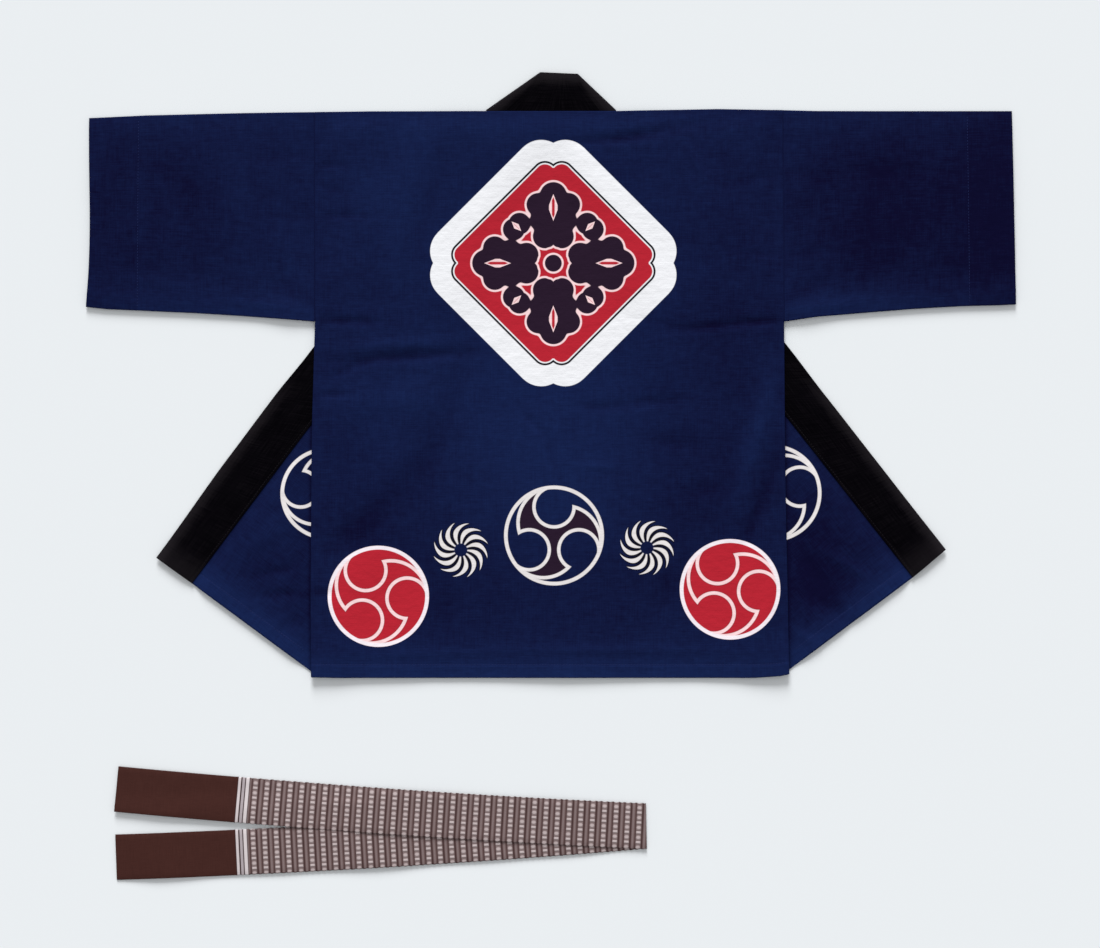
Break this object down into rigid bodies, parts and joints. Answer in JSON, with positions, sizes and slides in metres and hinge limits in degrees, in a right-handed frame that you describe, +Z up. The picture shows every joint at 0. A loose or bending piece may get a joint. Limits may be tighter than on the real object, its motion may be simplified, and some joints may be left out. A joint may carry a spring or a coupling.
{
  "type": "happi coat",
  "caption": "Cotton happi coat laid flat with its back up, fronts turned out below the sleeves, a black collar band and its folded woven belt beside it.",
  "frame": {"origin": "on the surface that the cloth lies on, under the middle of coat and belt together", "axes": "+X across the coat to the sleeve seen on the right, +Y from hem to collar, +Z up off the surface"},
  "size_m": [1.3191, 1.1459, 0.0068],
  "materials": {
    "navy_cotton": "matt slub cotton, indigo navy",
    "black_cotton": "matt twill cotton, black",
    "belt_weave": "flat figured weave, brown and off-white"
  },
  "bodies": {
    "root": {"back": "navy_cotton", "front_left": "navy_cotton", "front_right": "navy_cotton", "sleeve_left": "navy_cotton", "sleeve_right": "navy_cotton", "collar_left": "black_cotton", "collar_right": "black_cotton", "collar_neck": "black_cotton", "belt": "belt_weave"}
  },
  "joints": []
}
